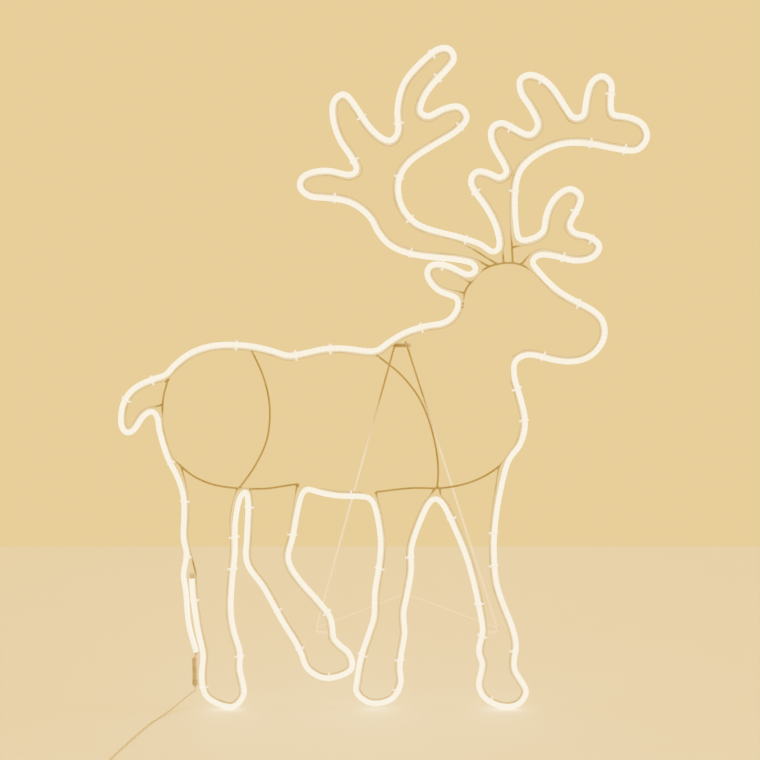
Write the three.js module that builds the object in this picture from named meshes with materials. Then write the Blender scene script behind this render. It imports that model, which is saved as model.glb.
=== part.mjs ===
// Light-up yard reindeer: a flat figure of bent, powder-coated wire, outlined by one long
// run of LED rope light that is tied to the wire, on a wire stand that folds in behind it.
// Millimetres, +Z up, the reindeer faces +X and its stand opens towards +Y.
import * as THREE from 'three';

// Driving dimensions
const GAP = 0.3; // between solids that touch
const ROPE = 9; // rope light, across its section
const ROPE_BORE = 4.8;
const STRIP_WIDTH = 3.4;
const STRIP_THICKNESS = 1.2;
const WIRE = 4; // frame and stand wire
const THIN_WIRE = 2.2; // the stand's cross brace
const WIRE_FROM_ROPE = 7.5; // the wire's centre, inside the rope's
const WIRE_JOINT = 5.2; // from a wire's end to the centre of the wire that it is welded to
const TIE_WIDTH = 2.6;
const TIE_THICKNESS = 1;
const TIE_CLEARANCE = 0.4;

const PIN = { left: 19, right: 56, y: WIRE + GAP, z: 687, radius: 2 };
const SLEEVE = { left: 29, right: 52, bore: 2.3, radius: 3.6 };
const STAND_ANGLE = THREE.MathUtils.degToRad(27.8);
const LEG_BACK = SLEEVE.radius + WIRE / 2 + GAP; // leg's centre behind the hinge's axis
const LEG_TOP = 3;
const LEG_LENGTH = (PIN.z + LEG_BACK * Math.sin(STAND_ANGLE) - WIRE / 2) / Math.cos(STAND_ANGLE);
const LEFT_LEG = { top: 30, foot: -140, toe: -113 };
const RIGHT_LEG = { top: 48, foot: 262, toe: 235 };
const BRACE = { x: 57, rise: 118, end: 8 };

const CORD = 3;
const CORD_HEIGHT = CORD / 2;
const PLUG_AXIS = { x: -343, top: 101 };
const COIL = { x: -490, y: -262, mean: 18, depth: 15 };
const ADAPTER = { x: -536, y: -352, width: 42, length: 72, height: 28 };

const ROPE_CORNER = ROPE / 2 / Math.cos(Math.PI / 6);

// Rope light, stretch by stretch, as [x, z] along its centre, clockwise from the feed end
const outline = {
  feed: [[-340, 114], [-346, 136], [-352, 166], [-355, 202], [-356, 237], [-359, 270]],
  haunch: [[-352, 298], [-357, 329], [-355, 376], [-354, 404], [-363, 443], [-379, 476], [-389, 510],
    [-396, 540]],
  tail: [[-397, 556], [-405, 568], [-418, 564], [-432, 547], [-442, 532], [-453, 528], [-462, 538],
    [-463, 560], [-456, 587], [-440, 608], [-409, 625]],
  back: [[-381, 634], [-367, 649], [-343, 669], [-309, 684], [-264, 689], [-207, 683], [-158, 669],
    [-118, 678], [-74, 683], [-34, 679], [-5, 678]],
  neck: [[16, 692], [39, 707], [74, 720], [115, 728], [130, 738], [140, 758], [138, 772]],
  ear: [[125, 777], [104, 786], [89, 802], [84, 817], [91, 829], [107, 831], [125, 827], [143, 818],
    [159, 812]],
  leftAntler: [[171, 820], [167, 831], [144, 838], [98, 843], [56, 849], [21, 863], [0, 885],
    [-15, 912], [-47, 937], [-84, 945], [-121, 949], [-138, 965], [-133, 981], [-111, 991], [-79, 992],
    [-52, 985], [-38, 992], [-43, 1008], [-66, 1042], [-79, 1080], [-77, 1111], [-61, 1122],
    [-46, 1111], [-29, 1083], [-1, 1052], [20, 1043], [32, 1055], [32, 1099], [43, 1140], [71, 1172],
    [100, 1196], [120, 1197], [129, 1180], [108, 1154], [81, 1123], [71, 1092], [83, 1084],
    [117, 1099], [141, 1100], [152, 1082], [136, 1061], [89, 1032], [52, 1006], [35, 977], [39, 934],
    [67, 901], [125, 883], [178, 866]],
  rightAntler: [[200, 852], [210, 858], [209, 882], [194, 919], [169, 953], [159, 975], [168, 991],
    [187, 990], [210, 980], [222, 989], [215, 1006], [194, 1044], [195, 1066], [212, 1074], [235, 1063],
    [261, 1053], [274, 1067], [265, 1092], [243, 1125], [242, 1147], [260, 1154], [289, 1141],
    [314, 1110], [335, 1082], [351, 1085], [357, 1120], [366, 1144], [383, 1152], [398, 1140],
    [398, 1112], [402, 1088], [430, 1083], [455, 1071], [463, 1048], [448, 1028], [414, 1029],
    [356, 1039], [313, 1037], [272, 1019], [245, 992], [237, 951], [240, 899]],
  browTine: [[246, 874], [266, 875], [287, 888], [293, 922], [311, 951], [334, 962], [352, 948],
    [345, 923], [333, 898], [343, 885], [369, 879], [387, 863], [377, 844], [346, 837], [309, 845],
    [280, 847]],
  face: [[269, 835], [292, 808], [322, 780], [369, 756], [395, 734], [400, 701], [378, 669],
    [343, 658], [301, 663], [265, 671], [243, 659]],
  chest: [[242, 632], [254, 591], [263, 549], [256, 510], [235, 479]],
  farForeLeg: [[224, 438], [213, 367], [211, 306], [219, 236], [242, 178], [255, 127], [252, 82],
    [265, 58], [276, 34], [262, 10], [234, 4.7], [197, 23], [186, 52], [193, 86], [185, 117], [192, 150],
    [181, 218], [160, 298], [134, 360]],
  nearForeLeg: [[110, 404], [98, 406], [77, 367], [60, 315], [59, 260], [46, 191], [48, 144], [39, 89],
    [41, 50], [23, 19], [-17, 12], [-43, 35], [-39, 65], [-30, 117], [-10, 177], [-7, 237], [3, 304],
    [0, 355]],
  belly: [[-16, 407], [-52, 410], [-96, 415], [-132, 424]],
  farHindLeg: [[-143, 406], [-154, 346], [-166, 293], [-151, 260], [-118, 220], [-88, 177],
    [-83, 138], [-55, 110], [-51, 79], [-99, 61], [-134, 81], [-148, 120], [-169, 154], [-188, 193],
    [-214, 241], [-242, 285], [-242, 323], [-238, 376]],
  nearHindLeg: [[-241, 419], [-249, 415], [-262, 361], [-264, 295], [-273, 214], [-271, 164],
    [-258, 113], [-259, 74], [-252, 30], [-274, 4.4], [-322, 24], [-331, 60], [-327, 103], [-336, 160],
    [-342, 206], [-344, 256]],
};

// Wire that leaves the rope's outline, as [x, z]
const crown = [[148, 764], [151, 780], [158, 795], [169, 806], [179, 818], [194, 827], [213, 832],
  [237, 833], [257, 827], [272, 817]];
const breast = [[239, 497], [219, 469], [180, 443], [138, 430], [105, 426], [47, 426], [-5, 419]];
const rump = [[-145, 433], [-198, 426], [-252, 426], [-303, 434], [-342, 453], [-372, 482]];
const rearRib = [[-224, 674], [-207, 634], [-196, 580], [-201, 519], [-224, 468], [-249, 432]];
const frontRib = [[4, 664], [38, 636], [74, 589], [97, 527], [107, 469], [106, 431]];

// Where the ties sit on the rope, as [x, z]
const tiePlaces = [[-37, 1093], [77, 1181], [106, 1150], [33, 985], [56, 904], [398, 1126],
  [420, 1029], [338, 930], [372, 875], [299, 668], [249, 603], [-354, 390], [-264, 340],
  [-143, 123], [37, 91], [192, 148], [205, 340], [-456, 587], [-140, 672]];

const clear = { roughness: 0.25, transparent: true, opacity: 0.55 };
const finishes = {
  opalRope: { color: 0xfffbe0, roughness: 0.45, emissive: 0xfff2c0, emissiveIntensity: 0.6 },
  ledStrip: { color: 0xf4f0dc, roughness: 0.5 },
  whiteWire: { color: 0xe8e2d2, roughness: 0.4 },
  clearPlastic: { color: 0xf0ead8, ...clear },
  greyPlastic: { color: 0xb9ae96, roughness: 0.45 },
  clearCord: { color: 0xe6dcc0, ...clear },
  adapterPlastic: { color: 0xf2f0ea, roughness: 0.5 },
  metal: { color: 0xc9ccd0, roughness: 0.3, metalness: 1 },
};

const reindeer = new THREE.Group();
const stand = new THREE.Group();
stand.position.set(0, PIN.y, PIN.z);
stand.rotation.x = STAND_ANGLE;
reindeer.add(stand);

function add(name, geometry, finish, parent = reindeer) {
  const mesh = new THREE.Mesh(geometry, new THREE.MeshStandardMaterial(finishes[finish]));
  mesh.name = name;
  parent.add(mesh);
  return mesh;
}

const inPlane = ([x, z]) => new THREE.Vector3(x, 0, z);

// A path given by its stations, so that its steps crowd where it bends and thin out where not
class PacedCurve extends THREE.Curve {
  constructor(stations, marks) {
    super();
    this.stations = stations;
    this.marks = marks; // each station's place among the points that the path was drawn through
  }

  index(u) {
    return Math.round(u * (this.stations.length - 1));
  }

  getPointAt(u) {
    return this.stations[this.index(u)].clone();
  }

  getTangentAt(u, target = new THREE.Vector3()) {
    const i = this.index(u);
    const here = this.stations[i];
    const before = this.stations[i - 1] ?? here;
    const after = this.stations[i + 1] ?? here;
    const arriving = here.clone().sub(before).normalize();
    const leaving = after.clone().sub(here).normalize();
    return target.copy(arriving.add(leaving).normalize());
  }
}

// Steps that turn by no more than the given angle and leave the curve by no more than the sag
function paced(points, turn, sag) {
  const perPoint = 16;
  const curve = new THREE.CatmullRomCurve3(points, false, 'centripetal');
  const samples = curve.getPoints((points.length - 1) * perPoint);
  const last = samples.length - 1;
  const chosen = [0];
  let turned = 0;
  let travelled = 0;
  for (let i = 1; i < last; i += 1) {
    const arriving = samples[i].clone().sub(samples[i - 1]);
    const leaving = samples[i + 1].clone().sub(samples[i]);
    turned += arriving.angleTo(leaving);
    travelled += arriving.length();
    if (turned > turn || (turned * travelled) / 8 > sag) {
      chosen.push(i);
      turned = 0;
      travelled = 0;
    }
  }
  chosen.push(last);
  return new PacedCurve(chosen.map((i) => samples[i]), chosen.map((i) => i / perPoint));
}

const smooth = (points) => paced(points.map(inPlane), 0.5, 1).stations;

// A section with a flat on each side of the path, the given width across flats, turned by a twist
function sixSided(width, twist = 0) {
  const corner = width / 2 / Math.cos(Math.PI / 6);
  const points = [];
  for (let k = 0; k < 6; k += 1) {
    const angle = (k * Math.PI) / 3 + twist;
    points.push(new THREE.Vector2(corner * Math.cos(angle), corner * Math.sin(angle)));
  }
  return new THREE.Shape(points);
}

function rectangle(width, height, Kind = THREE.Shape) {
  const [x, y] = [width / 2, height / 2];
  const corners = [[-x, -y], [x, -y], [x, y], [-x, y]];
  return new Kind(corners.map(([a, b]) => new THREE.Vector2(a, b)));
}

function sweep(section, path) {
  const steps = path.stations.length - 1;
  return new THREE.ExtrudeGeometry(section, { steps, bevelEnabled: false, extrudePath: path });
}

// A solid turned about +Z from a [radius, height] profile that runs from bottom to top
function turned(profile, segments = 12) {
  const points = profile.map(([r, h]) => new THREE.Vector2(r, h));
  return new THREE.LatheGeometry(points, segments).rotateX(Math.PI / 2);
}

const cylinder = (radius, bottom, top) => [[0, bottom], [radius, bottom], [radius, top], [0, top]];

// Rope light
const ropePoints = Object.values(outline).flat().map(inPlane);
const ropePath = paced(ropePoints, 0.5, 1);

function makeRope() {
  const jacket = sixSided(ROPE);
  jacket.holes.push(rectangle(ROPE_BORE, ROPE_BORE, THREE.Path));
  add('neon_rope_jacket', sweep(jacket, ropePath), 'opalRope');
  add('led_strip', sweep(rectangle(STRIP_THICKNESS, STRIP_WIDTH), ropePath), 'ledStrip');
  const { stations } = ropePath;
  addRopeCap('rope_feed_cap', stations[0], stations[1], 5);
  addRopeCap('rope_end_cap', stations.at(-1), stations.at(-2), 9);
}

function addRopeCap(name, end, inner, length) {
  const outward = end.clone().sub(inner).normalize();
  const cap = add(name, turned(cylinder(ROPE / 2 + 0.4, GAP, length)), 'clearPlastic');
  cap.position.copy(end);
  cap.quaternion.setFromUnitVectors(new THREE.Vector3(0, 0, 1), outward);
}

// Frame wire
function inwardOf(along) {
  return new THREE.Vector3(along.z, 0, -along.x);
}

// Stations along the inner side of the rope, from one point of a stretch to another
function beside(stretch, from = 0, to = outline[stretch].length - 1) {
  const first = Object.values(outline).flat().indexOf(outline[stretch][0]);
  const { stations, marks } = ropePath;
  const points = [];
  for (let i = 1; i < stations.length - 1; i += 1) {
    if (marks[i] >= first + from && marks[i] <= first + to) {
      const along = ropePath.getTangentAt(i / (stations.length - 1));
      const arriving = stations[i].clone().sub(stations[i - 1]).normalize();
      const mitre = WIRE_FROM_ROPE / arriving.dot(along);
      const point = stations[i].clone().addScaledVector(inwardOf(along), mitre);
      if (points.length === 0 || point.distanceTo(points.at(-1)) > WIRE) {
        points.push(point);
      }
    }
  }
  return points;
}

// The end of a wire that is welded to another wire, short of that wire's centre
function weldedAt(target, nearest) {
  const centre = inPlane(target);
  const back = nearest.clone().sub(centre).normalize();
  return centre.addScaledVector(back, WIRE_JOINT);
}

function addWire(name, points, startWeld, endWeld) {
  const path = [...points];
  if (startWeld) {
    path.unshift(weldedAt(startWeld, points[0]));
  }
  if (endWeld) {
    path.push(weldedAt(endWeld, points.at(-1)));
  }
  add(name, sweep(sixSided(WIRE), new PacedCurve(path)), 'whiteWire');
}

function makeFrame() {
  addWire('back_and_neck_wire', beside('back', 0, 16));
  addWire('head_and_face_wire', [...smooth(crown), ...beside('face', 1)]);
  addWire('chest_wire', [...beside('chest', 0, 3.4), ...smooth(breast)]);
  addWire('belly_wire', beside('belly', 0.1, 2.8));
  const tailRoot = smooth([[-388, 574], [-387, 590], [-381, 611]]);
  addWire('rump_wire', [...smooth(rump), ...beside('haunch', 6, 7), ...tailRoot], null, [-376, 628]);
  addWire('tail_wire', beside('tail', 1, 10.5), [-388, 580], [-378, 625]);
  addWire('ear_wire', beside('ear', 0, 7.2), [151, 780], [161, 799]);
  addWire('left_antler_wire', beside('leftAntler', 1.2), [194, 827], [205, 833]);
  addWire('right_antler_wire', beside('rightAntler', 1), [219, 834], [235, 834]);
  const browRoot = [smooth([[254, 865], [268, 866.5]]), smooth([[285, 856.5], [267, 849]])];
  addWire('brow_tine_wire', [...browRoot[0], ...beside('browTine', 1.2, 14.8), ...browRoot[1]],
    [235, 861], [250, 831]);
  addWire('far_fore_leg_wire', beside('farForeLeg', 0, 19.2), [218, 469], [110, 427]);
  addWire('near_fore_leg_wire', beside('nearForeLeg', 0.9, 17.6), [102, 427], [-6, 419]);
  addWire('far_hind_leg_wire', beside('farHindLeg', 0, 17.8), [-148, 433], [-234, 428]);
  const shin = [...smooth([[-260, 415], [-269.5, 378]]), ...beside('nearHindLeg', 2.4)];
  addWire('near_hind_leg_wire', [...shin, ...smooth([[-337, 268], [-340, 282]]), ...beside('haunch', 0.3, 4)],
    [-256, 428], [-357, 465]);
  addWire('rear_rib_wire', smooth(rearRib));
  addWire('front_rib_wire', smooth(frontRib));
}

// Cable ties
function bandOutline(grow, Kind) {
  const wire = WIRE_FROM_ROPE;
  const half = [
    [-ROPE / 2 - grow, ROPE_CORNER / 2 + grow * 0.6],
    [0, ROPE_CORNER + grow * 1.1],
    [wire + grow * 0.3, WIRE * 0.6 + grow * 1.1],
    [wire + WIRE / 2 + grow, WIRE * 0.3 + grow * 0.6],
  ];
  const mirrored = half.map(([x, y]) => [x, -y]);
  return new Kind([...mirrored, ...half.reverse()].map(([x, y]) => new THREE.Vector2(x, y)));
}

// The middle of the rope's straightest step near a place, and the rope's direction there
function nearestOnRope(place) {
  const { stations } = ropePath;
  let best;
  for (let i = 1; i < stations.length; i += 1) {
    const step = stations[i].clone().sub(stations[i - 1]);
    const point = stations[i].clone().addScaledVector(step, -0.5);
    const distance = point.distanceTo(place);
    if (step.length() > 2 * TIE_WIDTH && !(best?.distance < distance)) {
      best = { point, distance, along: step.normalize() };
    }
  }
  return best;
}

function makeTies() {
  const band = bandOutline(TIE_CLEARANCE + TIE_THICKNESS, THREE.Shape);
  band.holes.push(bandOutline(TIE_CLEARANCE, THREE.Path));
  tiePlaces.forEach((place, i) => {
    const geometry = new THREE.ExtrudeGeometry(band, { depth: TIE_WIDTH, bevelEnabled: false });
    const tie = add(`cable_tie_${i + 1}`, geometry.translate(0, 0, -TIE_WIDTH / 2), 'clearPlastic');
    const { point, along } = nearestOnRope(inPlane(place));
    const depth = new THREE.Vector3(0, 1, 0);
    const axes = new THREE.Matrix4().makeBasis(inwardOf(along), depth, along);
    tie.position.copy(point);
    tie.quaternion.setFromRotationMatrix(axes);
  });
}

// Folding stand, drawn with its legs hanging straight down from the hinge's axis
function alongX(geometry, left, height = 0) {
  return geometry.rotateY(Math.PI / 2).translate(left, 0, height);
}

function addStandWire(name, section, y, points) {
  const path = paced(points.map(([x, z]) => new THREE.Vector3(x, 0, z)), 0.4, 0.5);
  add(name, sweep(section, path).translate(0, y, 0), 'whiteWire', stand);
}

function addLeg(name, { top, foot, toe }) {
  const side = Math.sign(toe - foot);
  const section = sixSided(WIRE, -side * STAND_ANGLE); // the toe's lowest flat lies level
  const lean = ((top - foot) / LEG_LENGTH) * 10;
  const points = [[top, LEG_TOP], [(top + foot) / 2, (LEG_TOP - LEG_LENGTH) / 2],
    [foot + lean, 10 - LEG_LENGTH], [foot + side * 2, 2 - LEG_LENGTH], [foot + side * 6, -LEG_LENGTH],
    [foot + side * 12, -LEG_LENGTH], [toe, -LEG_LENGTH]];
  addStandWire(name, section, LEG_BACK, points);
}

function makeStand() {
  const pin = cylinder(PIN.radius, 0, PIN.right - PIN.left);
  const pinMesh = add('hinge_pin', alongX(turned(pin), PIN.left), 'whiteWire');
  pinMesh.position.set(0, PIN.y, PIN.z);
  const cup = [[SLEEVE.bore, 0], [SLEEVE.radius, 0], [SLEEVE.radius, 5.5], [0, 5.5],
    [0, PIN.right - SLEEVE.right], [SLEEVE.bore, PIN.right - SLEEVE.right], [SLEEVE.bore, 0]];
  const cap = add('hinge_end_cap', alongX(turned(cup), SLEEVE.right + GAP), 'clearPlastic');
  cap.position.copy(pinMesh.position);

  const length = SLEEVE.right - SLEEVE.left;
  const tube = [[SLEEVE.bore, 0], [SLEEVE.radius, 0], [SLEEVE.radius, length],
    [SLEEVE.bore, length], [SLEEVE.bore, 0]];
  add('stand_hinge_sleeve', alongX(turned(tube), SLEEVE.left), 'whiteWire', stand);
  addLeg('stand_leg_left', LEFT_LEG);
  addLeg('stand_leg_right', RIGHT_LEG);
  const low = BRACE.end - LEG_LENGTH;
  const behind = LEG_BACK + WIRE / 2 + THIN_WIRE / 2 + 2 * GAP;
  const peak = [BRACE.x, BRACE.rise - LEG_LENGTH];
  const bracePoints = [[LEFT_LEG.foot, low], [BRACE.x - 6, peak[1] - 2.4], peak,
    [BRACE.x + 6, peak[1] - 2.4], [RIGHT_LEG.foot, low]];
  addStandWire('stand_brace', sixSided(THIN_WIRE), behind, bracePoints);
}

// Inline screw connector below the rope's feed end, turned about the vertical
function makeConnector() {
  const { x, top } = PLUG_AXIS;
  const parts = {
    connector_socket: [[0, top], [5, top], [5, 59], [4, 59], [4, 54], [3.1, 54], [3.1, 90], [0, 90]],
    connector_seal: [[3, 52.7], [3.9, 52.7], [3.9, 53.7], [3, 53.7], [3, 52.7]],
    connector_plug: [[0, 44.5], [2.3, 44.5], [2.3, 50.3], [3.9, 50.3], [3.9, 52.4], [2.7, 52.4],
      [2.7, 76], [1.9, 76], [1.9, 56], [0, 56]],
    connector_nut: [[2.6, 48.5], [5.8, 48.5], [5.8, 58.7], [4.3, 58.7], [4.3, 50], [2.6, 50],
      [2.6, 48.5]],
  };
  parts.connector_socket.reverse();
  for (const [name, profile] of Object.entries(parts)) {
    add(name, turned(profile), 'greyPlastic').position.x = x;
  }
  for (const side of [-1, 1]) {
    const name = side < 0 ? 'connector_pin_left' : 'connector_pin_right';
    add(name, turned(cylinder(0.5, 62, 89.7), 8), 'metal').position.x = x + side;
  }
  const cap = reindeer.getObjectByName('rope_feed_cap');
  const start = new THREE.Vector3(0, 0, 5 + GAP).applyQuaternion(cap.quaternion).add(cap.position);
  const outward = new THREE.Vector3(0, 0, 1).applyQuaternion(cap.quaternion);
  const pigtail = [start, start.clone().addScaledVector(outward, 1.5),
    new THREE.Vector3(x, 0, top + 2), new THREE.Vector3(x, 0, top + GAP)];
  add('feed_pigtail', sweep(sixSided(2.6), paced(pigtail, 0.5, 0.2)), 'clearCord');
}

// Lead to the mains: down to the ground, along it, round a stored coil, then the adapter
function roundSection(diameter, sides) {
  const points = [];
  for (let k = 0; k < sides; k += 1) {
    const angle = (2 * Math.PI * k) / sides;
    points.push(new THREE.Vector2(Math.cos(angle), Math.sin(angle)).multiplyScalar(diameter / 2));
  }
  return new THREE.Shape(points);
}

function addCord(name, points) {
  const path = paced(points.map((p) => new THREE.Vector3(...p)), 0.3, 0.4);
  add(name, sweep(roundSection(CORD, 8), path), 'clearCord');
}

function makeLead() {
  const h = CORD_HEIGHT + 0.1;
  const { x, y, mean, depth } = COIL;
  const outer = mean + depth / 2 + CORD / 2 + GAP;
  addCord('lead_cord', [[-343, 0, 44.2], [-343.5, 0, 38], [-350, 0, 32], [-364, -3, 22],
    [-380, -10, 10], [-394, -22, 3], [-404, -38, h], [-417, -64, h], [-428, -96, h], [-445, -148, h],
    [-459, -200, h], [x + outer, y + 20, h], [x + outer, y, h]]);
  addCord('adapter_cord', [[x - outer, y, h], [x - outer, y - 12, h], [ADAPTER.x + 4, -300, h + 3],
    [ADAPTER.x, ADAPTER.y + ADAPTER.length / 2 + 4, 8],
    [ADAPTER.x, ADAPTER.y + ADAPTER.length / 2 + GAP, 8]]);

  const r = depth / 2;
  const ring = [];
  for (let k = 0; k <= 8; k += 1) {
    const angle = Math.PI / 8 + (k * Math.PI) / 4;
    ring.push([mean + r * Math.cos(angle), r * Math.cos(Math.PI / 8) + r * Math.sin(angle)]);
  }
  const coil = add('lead_coil', turned(ring, 24), 'clearCord');
  coil.position.set(x, y, 0);
  const wrap = rectangle(depth + 3, depth + 3);
  wrap.holes.push(rectangle(depth + 1, depth + 1, THREE.Path));
  const tieGeometry = new THREE.ExtrudeGeometry(wrap, { depth: 3, bevelEnabled: false });
  const tie = add('coil_tie', tieGeometry.rotateY(Math.PI / 2), 'clearPlastic');
  tie.position.set(x - 1.5, y - mean, (depth + 3) / 2);
  coil.position.z = 1.5;
}

function makeAdapter() {
  const { x, y, width, length, height } = ADAPTER;
  const body = new THREE.Shape();
  const [a, b, r] = [width / 2, length / 2, 6];
  body.absarc(a - r, b - r, r, 0, Math.PI / 2);
  body.absarc(r - a, b - r, r, Math.PI / 2, Math.PI);
  body.absarc(r - a, r - b, r, Math.PI, 1.5 * Math.PI);
  body.absarc(a - r, r - b, r, 1.5 * Math.PI, 2 * Math.PI);
  const depth = height;
  const geometry = new THREE.ExtrudeGeometry(body, { depth, bevelEnabled: false, curveSegments: 3 });
  add('power_adapter', geometry, 'adapterPlastic').position.set(x, y, 0);
  for (const side of [-1, 1]) {
    const name = side < 0 ? 'adapter_prong_left' : 'adapter_prong_right';
    const prong = add(name, new THREE.BoxGeometry(6.3, 17, 1.6), 'metal');
    prong.rotation.y = Math.PI / 2;
    prong.position.set(x + side * 6.35, y - b - 8.5 - GAP, height / 2);
  }
}

makeRope();
makeFrame();
makeTies();
makeStand();
makeConnector();
makeLead();
makeAdapter();

// The origin is under the middle of the figure's box, on the ground
reindeer.updateMatrixWorld(true);
const box = new THREE.Box3();
for (const name of ['neon_rope_jacket', 'stand_leg_left', 'stand_leg_right', 'stand_brace']) {
  box.expandByObject(reindeer.getObjectByName(name), true);
}
const middle = box.getCenter(new THREE.Vector3());
reindeer.position.set(-middle.x, -middle.y, -box.min.z);

export default reindeer;
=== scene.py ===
# Light-up yard reindeer: looks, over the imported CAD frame. Metres, in the CAD's own frame.
import math

import bmesh
import bpy
from mathutils import Matrix, Vector, kdtree, noise


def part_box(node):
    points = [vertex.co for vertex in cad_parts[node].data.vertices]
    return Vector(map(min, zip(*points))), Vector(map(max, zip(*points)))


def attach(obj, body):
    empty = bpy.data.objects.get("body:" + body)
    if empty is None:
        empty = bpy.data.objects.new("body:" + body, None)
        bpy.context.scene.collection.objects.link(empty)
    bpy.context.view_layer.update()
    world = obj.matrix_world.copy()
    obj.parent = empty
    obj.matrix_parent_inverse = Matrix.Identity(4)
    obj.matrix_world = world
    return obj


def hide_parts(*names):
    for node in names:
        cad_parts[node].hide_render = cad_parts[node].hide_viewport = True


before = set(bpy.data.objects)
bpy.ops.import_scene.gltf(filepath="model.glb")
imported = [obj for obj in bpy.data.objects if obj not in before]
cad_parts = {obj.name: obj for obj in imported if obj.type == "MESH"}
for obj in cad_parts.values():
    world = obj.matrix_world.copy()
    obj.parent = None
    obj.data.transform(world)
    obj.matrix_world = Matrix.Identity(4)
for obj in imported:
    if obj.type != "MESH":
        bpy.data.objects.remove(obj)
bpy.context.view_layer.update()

MM = 0.001

# The flat figure's plane, and the point that the CAD's own numbers are counted from
ROPE_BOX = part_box("neon_rope_jacket")
PLANE_Y = (ROPE_BOX[0][1] + ROPE_BOX[1][1]) / 2
NUT_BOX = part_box("connector_nut")
SHIFT = Vector(((NUT_BOX[0][0] + NUT_BOX[1][0]) / 2 + 343 * MM, PLANE_Y, NUT_BOX[0][2] - 48.5 * MM))

ROPE_RADIUS = 4.5 * MM
WIRE_RADIUS = 2.0 * MM
BRACE_RADIUS = 1.1 * MM
WIRE_OFFSET = 7.5 * MM
CORD_RADIUS = 1.5 * MM
LED_HALF_PITCH = 4.15 * MM
CORE_TWIST = 14 * MM

# Lengths of the rope's end caps, in millimetres
FEED_CAP, END_CAP = 5, 9

# Most that a corner of an end face can be from the end's centre
ROPE_END, WIRE_END, LEG_END, BRACE_END = 5.4 * MM, 2.5 * MM, 2.6 * MM, 1.5 * MM

# Where the rope's light starts to show on the wires, by their distance from it, and on the stand, by height
LIT_GAP, LIT_FADE = 14 * MM, 5 * MM
LIT_HEIGHT, LIT_HEIGHT_FADE = 0.59, 0.13

# How far a wire's end can be from the wire it's welded to: straight ahead of it, or to any side
WELD_AHEAD, WELD_ASIDE = 16 * MM, 14 * MM

# The stored coil and the cord's height on the ground, in the CAD source's millimetres
COIL_CENTRE = (-490, -262)
COIL_TURNS_IN_LAYER = 4.5
COIL_LAYERS = 5
COIL_INNER = 11.2
COIL_PITCH = 3.03
COIL_OUTER = COIL_INNER + COIL_PITCH * COIL_TURNS_IN_LAYER
COIL_REST = 3.1
CORD_REST = 1.7


def at(x, y, z):
    """A point given in the CAD source's millimetres."""
    return SHIFT + Vector((x, y, z)) * MM


# ---------------------------------------------------------------- camera and light
SENSOR_WIDTH = 36
LENS = SENSOR_WIDTH * 1.461842
CAMERA_X, CAMERA_HEIGHT, CAMERA_DISTANCE = 0.0023, 0.9424, 1.958
CAMERA_TILT_DOWN = 9.2
LIGHT_AIM_HEIGHT = 0.6


def make_camera():
    camera = bpy.data.cameras.new("camera")
    camera.sensor_width = SENSOR_WIDTH
    camera.lens = LENS
    obj = bpy.data.objects.new("camera", camera)
    obj.location = (CAMERA_X, PLANE_Y - CAMERA_DISTANCE, CAMERA_HEIGHT)
    obj.rotation_euler = (math.radians(90 - CAMERA_TILT_DOWN), 0, 0)
    bpy.context.scene.collection.objects.link(obj)
    bpy.context.scene.camera = obj


def make_area(name, location, size, power, colour):
    light = bpy.data.lights.new(name, "AREA")
    light.shape = "DISK"
    light.size = size
    light.energy = power
    light.color = colour
    obj = bpy.data.objects.new(name, light)
    obj.location = location
    aim = Vector((0, PLANE_Y, LIGHT_AIM_HEIGHT)) - Vector(location)
    obj.rotation_euler = aim.to_track_quat("-Z", "Y").to_euler()
    bpy.context.scene.collection.objects.link(obj)


def make_light():
    make_area("key_light", (-1.6, -2.6, 2.8), 2.2, 40, (1.0, 0.90, 0.72))
    make_area("fill_light", (2.2, -1.8, 1.8), 2.4, 20, (1.0, 0.90, 0.72))
    make_area("rim_light", (0.4, 2.2, 2.6), 2.0, 22, (1.0, 0.88, 0.66))
    world = bpy.data.worlds.new("room")
    world.use_nodes = True
    background = world.node_tree.nodes["Background"]
    background.inputs["Color"].default_value = (1.0, 0.60, 0.0, 1)
    background.inputs["Strength"].default_value = 2.8
    bpy.context.scene.world = world


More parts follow.
